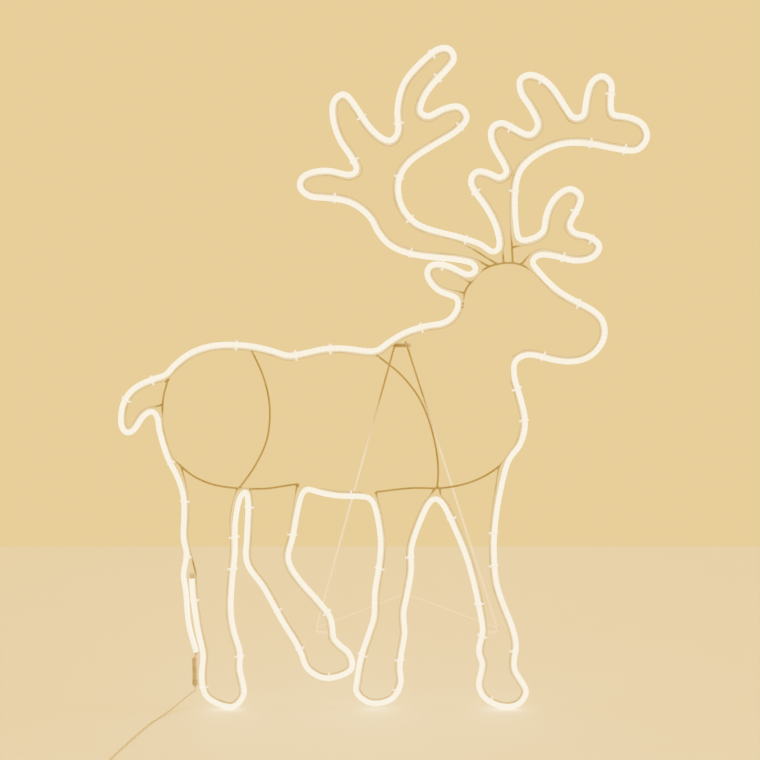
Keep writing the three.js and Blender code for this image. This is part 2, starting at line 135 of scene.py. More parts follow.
# ---------------------------------------------------------------- materials
class Paint:
    """A procedural material on one Principled shader."""

    def __init__(self, name, roughness, **sockets):
        self.material = bpy.data.materials.new(name)
        self.material.use_nodes = True
        self.nodes = self.material.node_tree.nodes
        self.shader = self.nodes["Principled BSDF"]
        self.shader.inputs["Roughness"].default_value = roughness
        for socket, value in sockets.items():
            self.shader.inputs[socket.replace("_", " ")].default_value = value

    def add(self, kind, **values):
        node = self.nodes.new(kind)
        for key, value in values.items():
            if key in node.inputs:
                node.inputs[key].default_value = value
            else:
                setattr(node, key, value)
        return node

    def link(self, out, into):
        self.material.node_tree.links.new(out, into)

    def noise(self, scale, detail):
        node = self.add("ShaderNodeTexNoise", Scale=scale, Detail=detail)
        self.link(self.add("ShaderNodeTexCoord").outputs["Object"], node.inputs["Vector"])
        return node.outputs["Fac"]

    def ramp(self, fac, stops, socket):
        """Colour a socket from a value: stops are (place, colour). Gives the colour output."""
        node = self.add("ShaderNodeValToRGB")
        elements = node.color_ramp.elements
        while len(elements) < len(stops):
            elements.new(0.5)
        for element, (place, colour) in zip(elements, stops):
            element.position = place
            element.color = (*colour, 1)
        self.link(fac, node.inputs["Fac"])
        self.link(node.outputs["Color"], self.shader.inputs[socket])
        return node.outputs["Color"]

    def spread(self, value, low, high, most=1.0):
        """A value from 0 to most, mapped to low to high."""
        node = self.add("ShaderNodeMapRange", clamp=True)
        node.inputs["From Max"].default_value = most
        node.inputs["To Min"].default_value = low
        node.inputs["To Max"].default_value = high
        self.link(value, node.inputs["Value"])
        return node.outputs["Result"]

    def grey(self, value, low, high, socket):
        self.link(self.spread(value, low, high), self.shader.inputs[socket])

    def math(self, operation, value, *others):
        """A maths node. Each other input is a number or a node's output."""
        node = self.add("ShaderNodeMath", operation=operation)
        self.link(value, node.inputs[0])
        for place, other in enumerate(others, 1):
            if isinstance(other, float):
                node.inputs[place].default_value = other
            else:
                self.link(other, node.inputs[place])
        return node.outputs["Value"]

    def bump(self, height, strength, distance):
        node = self.add("ShaderNodeBump")
        node.inputs["Strength"].default_value = strength
        node.inputs["Distance"].default_value = distance
        self.link(height, node.inputs["Height"])
        self.link(node.outputs["Normal"], self.shader.inputs["Normal"])

    def attribute(self, name):
        return self.add("ShaderNodeAttribute", attribute_name=name).outputs["Fac"]


def opal_rope():
    """Lit silicone: a faint brighter band over each LED, and soft mottling."""
    paint = Paint("opal_rope", 0.42, Coat_Weight=0.15, Coat_Roughness=0.3)
    from_led = paint.math("PINGPONG", paint.attribute("along"), LED_HALF_PITCH)
    glow = paint.spread(from_led, 8.0, 6.4, LED_HALF_PITCH)
    cloud = paint.noise(38, 2)
    strength = paint.math("MULTIPLY", glow, paint.spread(cloud, 0.86, 1.1))
    paint.link(strength, paint.shader.inputs["Emission Strength"])
    paint.ramp(cloud, [(0.3, (1.0, 0.80, 0.24)), (0.75, (1.0, 0.84, 0.30))], "Emission Color")
    paint.ramp(paint.noise(120, 4), [(0.3, (0.93, 0.90, 0.78)), (0.8, (0.99, 0.97, 0.88))], "Base Color")
    paint.bump(paint.noise(900, 3), 0.25, 0.15 * MM)
    return paint.material


def powder_coat(name, stops, stops_by_rope, glow=0):
    """Powder coat with an orange-peel bump, dust and worn patches, paler where the rope lights it."""
    paint = Paint(name, 0.45, Coat_Weight=0.2, Coat_Roughness=0.25)
    paint.shader.inputs["Emission Color"].default_value = (1.0, 0.72, 0.12, 1)
    wear, by_rope = paint.noise(26, 5), paint.attribute("by_rope")
    # Painted rope light: where by_rope is 1, the coat takes its pale stops instead of its own
    mix = paint.add("ShaderNodeMix", data_type="RGBA")
    factor, dark, pale, mixed = mix.inputs[0], mix.inputs[6], mix.inputs[7], mix.outputs[2]
    paint.link(by_rope, factor)
    paint.link(paint.ramp(wear, stops, "Base Color"), dark)
    paint.link(paint.ramp(wear, stops_by_rope, "Base Color"), pale)
    paint.link(mixed, paint.shader.inputs["Base Color"])
    # Painted glow: emission where by_rope is 1, standing in for the rope's light on the part
    paint.grey(by_rope, 0, glow, "Emission Strength")
    paint.grey(paint.noise(160, 4), 0.34, 0.58, "Roughness")
    paint.bump(paint.noise(1400, 2), 0.35, 0.12 * MM)
    return paint.material


def tie_nylon():
    """Clear nylon with the rope's light passing through it."""
    # The emission is painted glow: the rope's light shining through the ties
    paint = Paint("tie_nylon", 0.3, Transmission_Weight=0.3, IOR=1.53, Emission_Strength=2.6)
    paint.ramp(paint.noise(180, 3), [(0.3, (1.0, 0.72, 0.28)), (0.8, (1.0, 0.80, 0.40))], "Emission Color")
    paint.ramp(paint.noise(220, 3), [(0.3, (0.90, 0.85, 0.70)), (0.8, (0.98, 0.95, 0.85))], "Base Color")
    paint.grey(paint.noise(500, 3), 0.2, 0.4, "Roughness")
    paint.bump(paint.noise(700, 2), 0.2, 0.1 * MM)
    return paint.material


def clear_plastic():
    """Clear moulded plastic, slightly cloudy, for caps and ties that aren't lit."""
    paint = Paint("clear_plastic", 0.22, Transmission_Weight=0.25, IOR=1.49)
    paint.ramp(paint.noise(220, 3), [(0.3, (0.42, 0.38, 0.29)), (0.8, (0.56, 0.52, 0.42))], "Base Color")
    paint.grey(paint.noise(500, 3), 0.16, 0.34, "Roughness")
    paint.bump(paint.noise(700, 2), 0.2, 0.1 * MM)
    return paint.material


def grey_plastic():
    """Translucent moulded connector shell, cloudy with faint flow marks."""
    paint = Paint("grey_plastic", 0.4, Subsurface_Weight=0.1, IOR=1.47)
    stops = [(0.3, (0.24, 0.20, 0.21)), (0.6, (0.32, 0.27, 0.28)), (0.8, (0.42, 0.36, 0.37))]
    paint.ramp(paint.noise(90, 5), stops, "Base Color")
    paint.grey(paint.noise(260, 3), 0.3, 0.52, "Roughness")
    paint.bump(paint.noise(1200, 2), 0.3, 0.1 * MM)
    return paint.material


def clear_cord():
    """Clear sleeve over two stranded cores: the cores show as a slow two-start twist."""
    paint = Paint("clear_cord", 0.3, Transmission_Weight=0.2, IOR=1.5)
    around = paint.math("MULTIPLY", paint.attribute("around"), 2.0)
    turn = paint.math("MULTIPLY_ADD", paint.attribute("along"), 2 * math.pi / CORE_TWIST, around)
    core = paint.math("MULTIPLY_ADD", paint.math("SINE", turn), 0.5, 0.5)
    stops = [(0.2, (0.80, 0.70, 0.50)), (0.6, (0.48, 0.37, 0.22)), (0.95, (0.34, 0.24, 0.13))]
    paint.ramp(core, stops, "Base Color")
    paint.grey(paint.noise(400, 2), 0.22, 0.4, "Roughness")
    paint.bump(core, 0.25, 0.15 * MM)
    return paint.material


def adapter_plastic():
    """Grey moulded plastic with a fine spark-eroded grain."""
    paint = Paint("adapter_plastic", 0.5)
    paint.ramp(paint.noise(60, 4), [(0.3, (0.44, 0.43, 0.40)), (0.8, (0.52, 0.51, 0.48))], "Base Color")
    paint.grey(paint.noise(300, 3), 0.42, 0.6, "Roughness")
    paint.bump(paint.noise(2200, 2), 0.4, 0.1 * MM)
    return paint.material


def plated_metal():
    """Dull nickel plate for pins and blades."""
    paint = Paint("plated_metal", 0.25, Metallic=1.0)
    paint.ramp(paint.noise(150, 5), [(0.3, (0.60, 0.60, 0.60)), (0.8, (0.78, 0.77, 0.74))], "Base Color")
    paint.grey(paint.noise(700, 4), 0.16, 0.4, "Roughness")
    return paint.material


def strip_material():
    """The LED strip's white board, with copper-toned patches for its pads."""
    paint = Paint("strip_board", 0.5)
    paint.ramp(paint.noise(480, 2), [(0.45, (0.86, 0.84, 0.76)), (0.62, (0.80, 0.58, 0.30))], "Base Color")
    paint.grey(paint.noise(300, 3), 0.35, 0.6, "Roughness")
    return paint.material


def floor_material():
    paint = Paint("floor", 0.6)
    paint.ramp(paint.noise(1.6, 4), [(0.3, (0.94, 0.90, 0.68)), (0.8, (0.97, 0.93, 0.72))], "Base Color")
    paint.bump(paint.noise(90, 3), 0.08, 1 * MM)
    return paint.material


MATERIALS = {
    "opal_rope": opal_rope(),
    "led_strip": strip_material(),
    # The frame coat's second stops are painted rope light, on the wires beside the rope
    "white_wire": powder_coat(
        "frame_coat",
        [(0.30, (0.13, 0.105, 0.095)), (0.48, (0.19, 0.16, 0.14)), (0.75, (0.24, 0.205, 0.18))],
        [(0.30, (0.40, 0.36, 0.25)), (0.48, (0.54, 0.49, 0.34)), (0.75, (0.64, 0.58, 0.42))]),
    "clear_plastic": clear_plastic(),
    "grey_plastic": grey_plastic(),
    "clear_cord": clear_cord(),
    "adapter_plastic": adapter_plastic(),
    "metal": plated_metal(),
}
# The stand coat's pale stops and glow are painted rope light, on the legs from the belly down
STAND_COAT = powder_coat(
    "stand_coat",
    [(0.30, (0.15, 0.12, 0.105)), (0.48, (0.21, 0.175, 0.15)), (0.75, (0.27, 0.23, 0.195))],
    [(0.30, (0.82, 0.62, 0.24)), (0.48, (0.92, 0.72, 0.29)), (0.75, (0.98, 0.80, 0.35))],
    glow=1.3)
TIE_NYLON = tie_nylon()


# ---------------------------------------------------------------- meshes
def finish_piece(name, bm, slot, body="figure", replaces=(), smooth=True):
    """Turn a mesh into a named piece that rides on a body and stands for CAD nodes."""
    mesh = bpy.data.meshes.new(name)
    bmesh.ops.recalc_face_normals(bm, faces=bm.faces)
    bm.to_mesh(mesh)
    bm.free()
    own_coat = STAND_COAT if body == "stand" else TIE_NYLON if name.startswith("strap_") else None
    mesh.materials.append(own_coat or MATERIALS[slot])
    if smooth:
        mesh.shade_smooth()
    obj = bpy.data.objects.new(name, mesh)
    bpy.context.scene.collection.objects.link(obj)
    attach(obj, body)
    if replaces:
        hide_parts(*replaces)
    return obj


def soften(obj, width):
    bevel = obj.modifiers.new("edges", "BEVEL")
    bevel.width = width
    bevel.segments = 2
    bevel.limit_method = "ANGLE"
    bevel.angle_limit = math.radians(35)
    bevel.harden_normals = True


def catmull(points, step):
    """Points about a step apart on the centripetal Catmull-Rom curve through the given ones."""
    ends = [2 * points[0] - points[1], *points, 2 * points[-1] - points[-2]]
    path = []
    for p0, p1, p2, p3 in zip(ends, ends[1:], ends[2:], ends[3:]):
        d0, d1, d2 = (max((b - a).length, 1e-6) ** 0.5 for a, b in ((p0, p1), (p1, p2), (p2, p3)))
        out = ((p1 - p0) / d0 - (p2 - p0) / (d0 + d1) + (p2 - p1) / d1) * d1
        arrive = ((p2 - p1) / d1 - (p3 - p1) / (d1 + d2) + (p3 - p2) / d2) * d1
        count = max(1, round((p2 - p1).length / step))
        for k in range(count):
            t = k / count
            bend = (-3 * p1 + 3 * p2 - 2 * out - arrive) * t * t
            path.append(p1 + out * t + bend + (2 * p1 - 2 * p2 + out + arrive) * t**3)
    path.append(points[-1].copy())
    return path


def relax(path, rounds):
    """The same path with its kinks eased and its ends kept."""
    for _ in range(rounds):
        eased = [(a + 2 * b + c) / 4 for a, b, c in zip(path, path[1:], path[2:])]
        path = [path[0], *eased, path[-1]]
    return path


def tube(path, radius, sides, round_ends=True):
    """A tube along a path, with how far along and around it each point is as attributes."""
    bm = bmesh.new()
    along_layer = bm.verts.layers.float.new("along")
    around_layer = bm.verts.layers.float.new("around")
    tangents = []
    for i in range(len(path)):
        before, after = path[max(i - 1, 0)], path[min(i + 1, len(path) - 1)]
        tangents.append((after - before).normalized())
    side = tangents[0].orthogonal().normalized()
    rings, along = [], 0.0
    stations = [(p, t, 1.0) for p, t in zip(path, tangents)]
    if round_ends:
        dome = [(0.92, 0.38), (0.62, 0.79), (0.25, 0.97)]
        head = [(path[0] - tangents[0] * radius * d, tangents[0], s) for s, d in reversed(dome)]
        tail = [(path[-1] + tangents[-1] * radius * d, tangents[-1], s) for s, d in dome]
        stations = head + stations + tail
    last = stations[0][0]
    for point, tangent, scale in stations:
        side = (side - tangent * side.dot(tangent)).normalized()
        other = tangent.cross(side)
        along += (point - last).length
        last = point
        ring = []
        for k in range(sides):
            angle = 2 * math.pi * k / sides
            offset = (side * math.cos(angle) + other * math.sin(angle)) * radius * scale
            vert = bm.verts.new(point + offset)
            vert[along_layer] = along
            vert[around_layer] = angle
            ring.append(vert)
        rings.append(ring)
    for low, high in zip(rings, rings[1:]):
        for k in range(sides):
            bm.faces.new((low[k], low[(k + 1) % sides], high[(k + 1) % sides], high[k]))
    bm.faces.new(rings[0][::-1])
    bm.faces.new(rings[-1])
    return bm


def lathe(profile, origin, axis, sides=40, ripple=None):
    """A solid turned about an axis from [radius, height] in millimetres; ripple scales a radius."""
    bm = bmesh.new()
    turn = Vector((0, 0, 1)).rotation_difference(Vector(axis)).to_matrix()
    rings = []
    for radius, height in profile:
        if radius < 1e-6:
            rings.append([bm.verts.new(origin + turn @ Vector((0, 0, height * MM)))])
            continue
        ring = []
        for k in range(sides):
            angle = 2 * math.pi * k / sides
            r = radius * (ripple(angle, radius, height) if ripple else 1)
            place = Vector((r * math.cos(angle), r * math.sin(angle), height)) * MM
            ring.append(bm.verts.new(origin + turn @ place))
        rings.append(ring)
    pairs = list(zip(rings, rings[1:]))
    if len(rings[0]) > 1:
        pairs.append((rings[-1], rings[0]))
    for low, high in pairs:
        for k in range(sides):
            corners = [low[k % len(low)], low[(k + 1) % len(low)]]
            corners += [high[(k + 1) % len(high)], high[k % len(high)]]
            unique = list(dict.fromkeys(corners))
            if len(unique) > 2:
                bm.faces.new(unique)
    return bm


# ---------------------------------------------------------------- the frame's own centrelines
def end_ring(bm, most_radius, corners):
    """The corners of one flat end face of a swept CAD solid."""
    for face in bm.faces:
        group, queue = {face}, [face]
        while queue:
            for edge in queue.pop().edges:
                for other in edge.link_faces:
                    if other not in group and other.normal.dot(face.normal) > 0.99999:
                        group.add(other)
                        queue.append(other)
        verts = {v for f in group for v in f.verts}
        if len(verts) != corners:
            continue
        middle = sum((v.co for v in verts), Vector()) / corners
        if all((v.co - middle).length < most_radius for v in verts):
            return verts
    return None


def centreline(node, most_radius, corners=6):
    """Centres of a swept CAD solid's sections, from one end to the other."""
    bm = bmesh.new()
    bm.from_mesh(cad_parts[node].data)
    bmesh.ops.remove_doubles(bm, verts=bm.verts, dist=1e-6)
    bm.normal_update()
    layer = end_ring(bm, most_radius, corners)
    if layer is None:
        raise SystemExit(f"{node} has no flat end with {corners} corners")
    seen, centres = set(layer), []
    while layer:
        centres.append(sum((v.co for v in layer), Vector()) / len(layer))
        layer = {e.other_vert(v) for v in layer for e in v.link_edges} - seen
        seen |= layer
    bm.free()
    return centres


def nearest_on(path, place):
    """(distance, index) of a path's nearest point."""
    return min(((p - place).length, i) for i, p in enumerate(path))


ROPE_STATIONS = centreline("neon_rope_jacket", ROPE_END, corners=10)
if ROPE_STATIONS[0].z > ROPE_STATIONS[-1].z:
    ROPE_STATIONS.reverse()
ROPE_PATH = relax(catmull(ROPE_STATIONS, 3.2 * MM), 4)
ROPE_TREE = kdtree.KDTree(len(ROPE_PATH))
for number, station in enumerate(ROPE_PATH):
    ROPE_TREE.insert(station, number)
ROPE_TREE.balance()
NODE_NAMES = sorted(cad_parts)
STAND_NODES = {"stand_leg_left": (WIRE_RADIUS, LEG_END), "stand_leg_right": (WIRE_RADIUS, LEG_END),
               "stand_brace": (BRACE_RADIUS, BRACE_END)}
WIRE_PATHS = {n: centreline(n, WIRE_END) for n in NODE_NAMES if n.endswith("_wire")}


def make_rope():
    finish_piece("lit_rope", tube(ROPE_PATH, ROPE_RADIUS, 18, False), "opal_rope",
                 replaces=["neon_rope_jacket"])
    strip_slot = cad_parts["led_strip"].material_slots[0]
    strip_slot.link = "OBJECT"
    strip_slot.material = MATERIALS["led_strip"]
    caps = {"rope_feed_cap": (ROPE_PATH[0], ROPE_PATH[0] - ROPE_PATH[2], FEED_CAP),
            "rope_end_cap": (ROPE_PATH[-1], ROPE_PATH[-1] - ROPE_PATH[-3], END_CAP)}
    for name, (place, axis, length) in caps.items():
        # a moulded cap with a lip round the rope and a rounded nose
        r = ROPE_RADIUS / MM
        profile = [[0, 0.2], [r + 0.15, 0.2], [r + 0.35, 0.5], [r + 0.4, 1.2], [r + 0.1, 1.6]]
        profile += [[r + 0.1, length - 1.4], [r - 0.5, length - 0.4], [r - 1.6, length], [0, length]]
        bm = lathe(profile, place, axis)
        finish_piece(name.replace("rope", "clear"), bm, "clear_plastic", replaces=[name])


def weld_point(name, path, end):
    """Where a wire's end, run straight on, meets another wire, or None if it meets none."""
    start = path[end]
    ahead = (start - path[1 if end == 0 else -2]).normalized()
    ahead_hit, nearest, shortest = None, None, WELD_AHEAD
    for other, points in WIRE_PATHS.items():
        if other == name:
            continue
        for a, b in zip(points, points[1:]):
            t = max(0.0, min(1.0, (start - a).dot(b - a) / (b - a).length_squared))
            place = a + (b - a) * t
            if nearest is None or (place - start).length < (nearest - start).length:
                nearest = place
            turn = (b - a).x * ahead.z - (b - a).z * ahead.x
            if abs(turn) < 1e-9:
                continue
            along = ((start - a).x * ahead.z - (start - a).z * ahead.x) / turn
            place = a + (b - a) * along
            reach = (place - start).dot(ahead)
            if 0 <= along <= 1 and 0 < reach < shortest:
                ahead_hit, shortest = place, reach
    if ahead_hit is not None:
        return ahead_hit
    return nearest if (nearest - start).length < WELD_ASIDE else None


def mark_by_rope(bm):
    """How much the rope lights each vertex of a wire: 1 beside it, 0 from 14 mm off its centre."""
    layer = bm.verts.layers.float.new("by_rope")
    for vert in bm.verts:
        gap = ROPE_TREE.find(vert.co)[2]
        vert[layer] = min(1, max(0, (LIT_GAP - gap) / LIT_FADE))


def mark_by_height(bm):
    """The same for the stand, by height: 0 at the hinge, 1 from the belly down."""
    layer = bm.verts.layers.float.new("by_rope")
    for vert in bm.verts:
        vert[layer] = min(1, max(0, (LIT_HEIGHT - vert.co.z) / LIT_HEIGHT_FADE))


def make_frame_wires():
    beads = []
    for name, stations in WIRE_PATHS.items():
        path = list(stations)
        welds = {end: weld_point(name, path, end) for end in (0, -1)}
        for end, place in welds.items():
            if place is None:
                continue
            back = (path[end] - place).normalized() * WIRE_RADIUS
            beads.append(place + back * 1.1)
            path.insert(0 if end == 0 else len(path), place + back * 0.5)
        bm = tube(catmull(path, 4 * MM), WIRE_RADIUS, 14)
        mark_by_rope(bm)
        finish_piece(name.replace("_wire", "_rod"), bm, "white_wire", replaces=[name])
    make_weld_beads(beads)


def make_weld_beads(places):
    """Small uneven fillets of weld metal under the powder coat."""
    bm = bmesh.new()
    for place in places:
        ball = bmesh.ops.create_icosphere(bm, subdivisions=3, radius=WIRE_RADIUS * 1.45)
        for vert in ball["verts"]:
            rough = 1 + 0.22 * noise.noise((vert.co + place) * 700)
            vert.co = place + Vector((vert.co.x * rough, vert.co.y * rough * 0.82, vert.co.z * rough))
    finish_piece("weld_beads", bm, "white_wire")


# ---------------------------------------------------------------- cable ties
def tie_outline(grow):
    """Round the rope and the wire together, as [inward, depth] in metres from the rope's centre."""
    count = 28
    big, small = ROPE_RADIUS + grow, WIRE_RADIUS + grow
    lean = math.acos((big - small) / WIRE_OFFSET)
    points = []
    for k in range(count):
        angle = lean + (2 * math.pi - 2 * lean) * k / (count - 1)
        points.append((big * math.cos(angle), big * math.sin(angle)))
    for k in range(count // 2):
        angle = -lean + 2 * lean * k / (count // 2 - 1)
        points.append((WIRE_OFFSET + small * math.cos(angle), small * math.sin(angle)))
    return points


def add_tie(bm, origin, inward, along, tail_angle, tail_length):
    """A band, its head behind the rope and its cut tail, added to a mesh."""
    depth = Vector((0, 1, 0))

    def place(p, q, s):
        return origin + inward * p + depth * q + along * s

    inner, outer = tie_outline(0.15 * MM), tie_outline(1.0 * MM)
    half, edge = 1.25 * MM, 0.25 * MM
    sections = []
    for (ip, iq), (op, oq) in zip(inner, outer):
        mid_p, mid_q = op - (op - ip) * 0.3, oq - (oq - iq) * 0.3
        corners = [(ip, iq, -half), (mid_p, mid_q, -half), (op, oq, -half + edge)]
        corners += [(op, oq, half - edge), (mid_p, mid_q, half), (ip, iq, half)]
        sections.append([bm.verts.new(place(*corner)) for corner in corners])
    for low, high in zip(sections, sections[1:] + sections[:1]):
        for k in range(6):
            bm.faces.new((low[k], low[(k + 1) % 6], high[(k + 1) % 6], high[k]))

    head_angle = math.radians(115)
    radial = inward * math.cos(head_angle) + depth * math.sin(head_angle)
    across = along.cross(radial).normalized()
    centre = origin + radial * (ROPE_RADIUS + 2.2 * MM)
    add_block(bm, centre, [(across, 2.3 * MM), (along, 2.0 * MM), (radial, 1.6 * MM)])
    lean = (across * math.cos(tail_angle) + radial * math.sin(tail_angle)).normalized()
    rise = along.cross(lean).normalized()
    start = centre + lean * (2.2 * MM + tail_length / 2)
    add_block(bm, start, [(lean, tail_length / 2), (along, 1.1 * MM), (rise, 0.45 * MM)])


def add_block(bm, centre, axes):
    """A box with chamfered edges, from three axes and half sizes."""
    block = bmesh.ops.create_cube(bm, size=2)
    for vert in block["verts"]:
        local = vert.co.copy()
        vert.co = centre + sum((axis * half * local[i] for i, (axis, half) in enumerate(axes)), Vector())
    edges = list({e for v in block["verts"] for e in v.link_edges})
    width = min(half for _, half in axes) * 0.45
    bmesh.ops.bevel(bm, geom=edges, offset=width, segments=2, affect="EDGES", profile=0.5)


def rope_axes(index):
    """The way into the figure and the way along the rope, at a place on it."""
    along = (ROPE_PATH[index + 1] - ROPE_PATH[index - 1]).normalized()
    return Vector((along.z, 0, -along.x)), along


def make_ties():
    taken = []
    for number, name in enumerate(n for n in NODE_NAMES if n.startswith("cable_tie_")):
        low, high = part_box(name)
        index = nearest_on(ROPE_PATH, (Vector(low) + Vector(high)) / 2)[1]
        inward, along = rope_axes(index)
        bm = bmesh.new()
        add_tie(bm, ROPE_PATH[index], inward, along, 0.5 + 0.25 * math.sin(number * 2.1), 2.6 * MM)
        finish_piece(name.replace("cable_", "strap_"), bm, "clear_plastic", replaces=[name])
        taken.append(ROPE_PATH[index])
    # the rest of the ties, closer than the CAD's, where a wire runs beside the rope
    bm = bmesh.new()
    wires = [p for path in WIRE_PATHS.values() for p in catmull(path, 6 * MM)]
    travelled, number = 0.0, 0
    for index in range(4, len(ROPE_PATH) - 4):
        travelled += (ROPE_PATH[index] - ROPE_PATH[index - 1]).length
        inward, along = rope_axes(index)
        beside = ROPE_PATH[index] + inward * WIRE_OFFSET
        straight = along.dot(rope_axes(index - 3)[1]) > 0.985
        crowded = any((ROPE_PATH[index] - t).length < 60 * MM for t in taken)
        if travelled < 170 * MM or crowded or not straight or nearest_on(wires, beside)[0] > 3.2 * MM:
            continue
        add_tie(bm, ROPE_PATH[index], inward, along, 0.5 + 0.3 * math.cos(number * 1.7), 2 * MM)
        taken.append(ROPE_PATH[index])
        travelled, number = 0.0, number + 1
    finish_piece("strap_ties_between", bm, "clear_plastic")


# ---------------------------------------------------------------- folding stand
def make_stand():
    for name, (radius, most_radius) in STAND_NODES.items():
        bm = tube(catmull(centreline(name, most_radius), 5 * MM), radius, 14)
        mark_by_height(bm)
        finish_piece(name.replace("stand_", "stay_"), bm, "white_wire", "stand", replaces=[name])
    low, high = (Vector(c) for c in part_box("hinge_pin"))
    axis_y, axis_z = (low.y + high.y) / 2, (low.z + high.z) / 2

    def turned(name, node, profile, slot, body="figure"):
        """A part on the hinge's axis in a node's place, from its profile for a given length."""
        start, end = (corner[0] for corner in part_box(node))
        bm = lathe(profile((end - start) / MM), Vector((start, axis_y, axis_z)), (1, 0, 0))
        finish_piece(name, bm, slot, body, replaces=[node])

    turned("pivot_pin", "hinge_pin",
           lambda n: [[0, 0], [1.6, 0], [2, 0.4], [2, n - 0.4], [1.6, n], [0, n]], "white_wire")
    turned("pivot_sleeve", "stand_hinge_sleeve",
           lambda n: [[2.3, 0.2], [2.5, 0], [3.3, 0], [3.6, 0.3], [3.6, n - 0.3], [3.3, n], [2.5, n],
                      [2.3, n - 0.2]], "white_wire", "stand")
    turned("pivot_cap", "hinge_end_cap",
           lambda n: [[2.3, 0], [3.4, 0], [3.6, 0.3], [3.6, n - 1.4], [3.0, n - 0.4], [1.8, n], [0, n],
                      [0, 4], [2.3, 4]], "clear_plastic")

    def add_bead(bm, place, radius):
        bmesh.ops.create_icosphere(bm, subdivisions=3, radius=radius, matrix=Matrix.Translation(place))

    # welds between the sleeve and the legs, and between the brace and the toes
    beads = bmesh.new()
    brace = centreline("stand_brace", BRACE_END)
    for leg, toe in (("stand_leg_left", min(brace, key=lambda p: p.x)),
                     ("stand_leg_right", max(brace, key=lambda p: p.x))):
        top = max(centreline(leg, LEG_END), key=lambda p: p.z)
        add_bead(beads, Vector((top.x, axis_y + 3.4 * MM, axis_z + 2.2 * MM)), 2.5 * MM)
        add_bead(beads, toe - Vector((0, 0.9 * MM, -0.3 * MM)), 1.8 * MM)
    finish_piece("stay_weld_beads", beads, "white_wire", "stand")
    bead = bmesh.new()
    add_bead(bead, Vector((low.x + 5 * MM, axis_y - 1.9 * MM, axis_z + 0.5 * MM)), 2.6 * MM)
    finish_piece("pivot_weld_bead", bead, "white_wire")


# ---------------------------------------------------------------- connector and lead
def make_connector():
    axis = Vector(((NUT_BOX[0][0] + NUT_BOX[1][0]) / 2, PLANE_Y, SHIFT.z))
    shell = [[0, 90], [3.1, 90], [3.1, 54.2], [3.3, 54], [3.9, 54], [4, 54.4]]
    shell += [[4, 59], [4.7, 59], [5, 59.4], [5, 64]]
    for step in range(5):
        z = 66 + 2.4 * step
        shell += [[5, z], [4.7, z + 0.3], [4.7, z + 0.9], [5, z + 1.2]]
    shell += [[5, 80], [4.8, 80.4], [4.8, 96.6], [5, 97], [4.9, 99.6], [4.0, 101], [0, 101]]
    finish_piece("joint_socket", lathe(shell, axis, (0, 0, 1), 48), "grey_plastic",
                 replaces=["connector_socket"])
    plug = [[0, 44.6], [1.9, 44.6], [2.3, 45], [2.3, 50.3], [3.9, 50.3], [3.9, 52.4], [2.7, 52.4],
            [2.7, 75.8], [2.5, 76], [1.9, 76], [1.9, 56], [0, 56]]
    finish_piece("joint_plug", lathe(plug, axis, (0, 0, 1), 40), "grey_plastic", replaces=["connector_plug"])

    def knurl(angle, radius, height):
        return 1 - (0.05 * (math.cos(angle * 18) < 0) if radius > 5 and 49.4 < height < 58 else 0)

    nut = [[2.6, 48.5], [5.3, 48.5], [5.7, 48.9], [5.7, 49.3], [5.78, 49.6], [5.78, 57.6], [5.7, 57.9]]
    nut += [[5.6, 58.4], [5.3, 58.7], [4.3, 58.7], [4.3, 50], [2.6, 50]]
    finish_piece("joint_nut", lathe(nut, axis, (0, 0, 1), 144, knurl), "grey_plastic", "connector_nut",
                 replaces=["connector_nut"])
    seal = [[3.0, 53.0], [3.2, 52.75], [3.6, 52.75], [3.85, 53.0], [3.85, 53.4], [3.6, 53.65]]
    seal += [[3.2, 53.65], [3.0, 53.4]]
    finish_piece("joint_seal", lathe(seal, axis, (0, 0, 1)), "clear_plastic", replaces=["connector_seal"])
    for side, name in ((-1, "connector_pin_left"), (1, "connector_pin_right")):
        pin = [[0, 62], [0.3, 62.2], [0.5, 62.8], [0.5, 89.7], [0, 89.7]]
        place = axis + Vector((side * MM, 0, 0))
        finish_piece(name.replace("connector", "joint"), lathe(pin, place, (0, 0, 1), 20), "metal",
                     replaces=[name])
    out = (ROPE_PATH[0] - ROPE_PATH[2]).normalized()
    cap_end = ROPE_PATH[0] + out * FEED_CAP * MM
    tail = [cap_end - out * 0.6 * MM, cap_end + out * 1.6 * MM, axis + Vector((0, 0, 103.2 * MM))]
    tail.append(axis + Vector((0, 0, 100.6 * MM)))
    finish_piece("feed_lead", tube(catmull(tail, 1 * MM), 1.3 * MM, 14), "clear_cord",
                 replaces=["feed_pigtail"])


